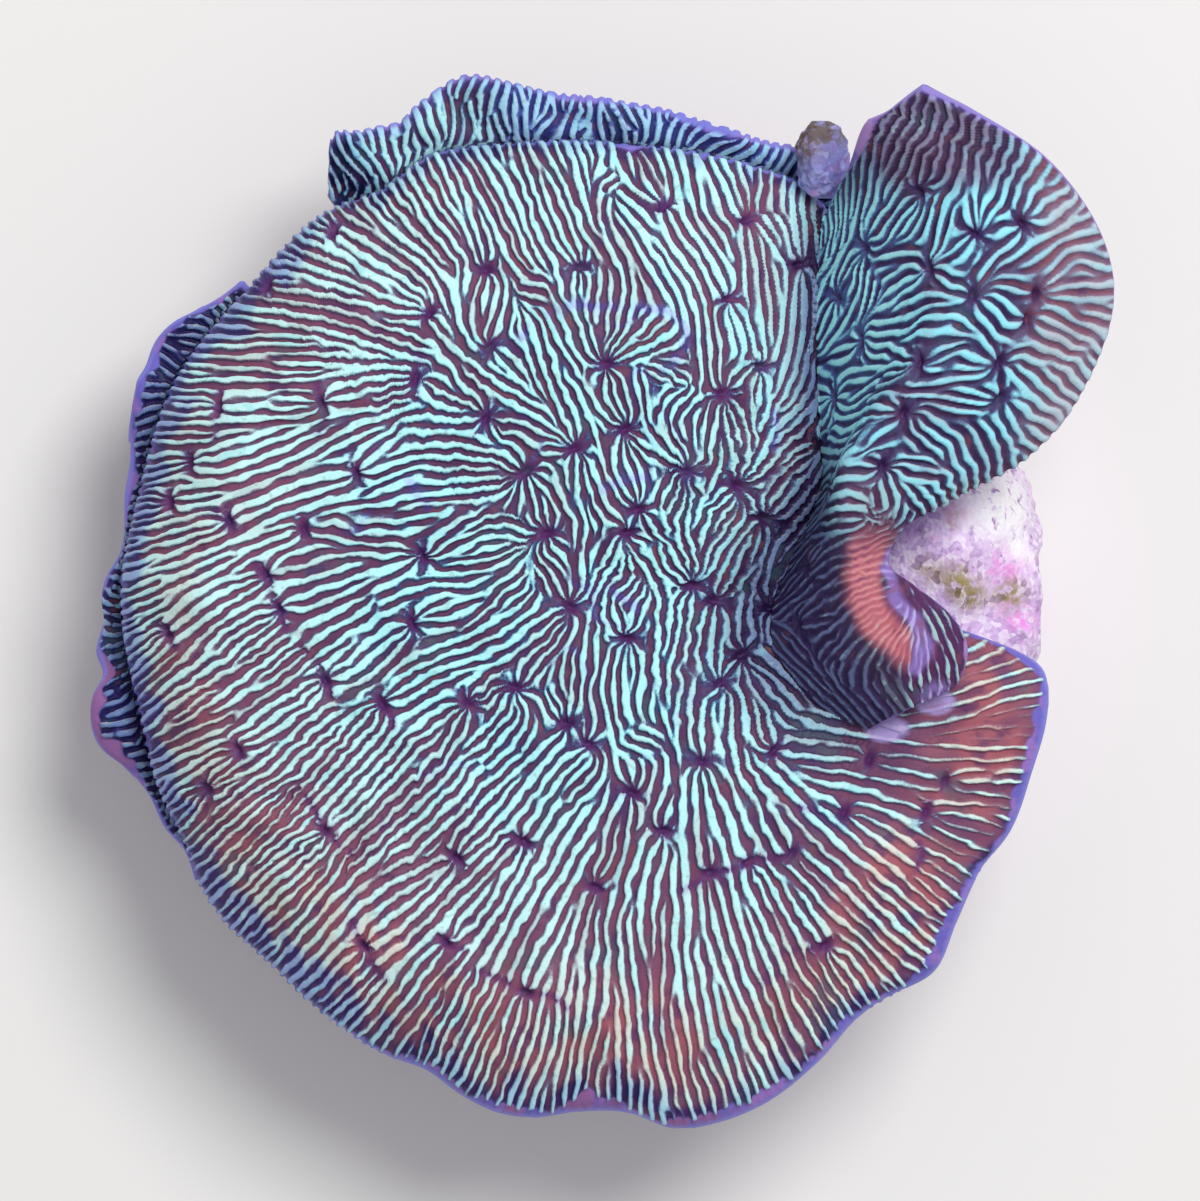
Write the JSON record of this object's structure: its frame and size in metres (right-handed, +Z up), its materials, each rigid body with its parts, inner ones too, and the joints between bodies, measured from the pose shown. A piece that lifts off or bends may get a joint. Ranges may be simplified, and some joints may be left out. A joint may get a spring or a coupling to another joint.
{
  "type": "pavona coral",
  "caption": "Plating stony coral colony with fine radiating ridges and a raised folded side lobe, grown over a small stone that is cut flat below.",
  "frame": {"origin": "on the stone's flat cut, below the middle of the colony", "axes": "+Z up, away from the cut; +X towards the raised side lobe; +Y towards the rear tier"},
  "size_m": [0.049, 0.0506, 0.021],
  "materials": {
    "plate": "living coral tissue over ridged skeleton, pale mint ridges and maroon grooves",
    "lobe": "living coral tissue, mint ridges, maroon grooves and a salmon fold",
    "tier": "living coral tissue, blue and violet towards the margin",
    "stone": "rough reef stone with a pink and white coralline crust",
    "nodule": "rough stone, brown and lavender"
  },
  "bodies": {
    "root": {"main_plate": "plate", "side_lobe": "lobe", "rear_tier": "tier", "left_tier": "tier", "base_stone": "stone", "notch_nodule": "nodule"}
  },
  "joints": []
}
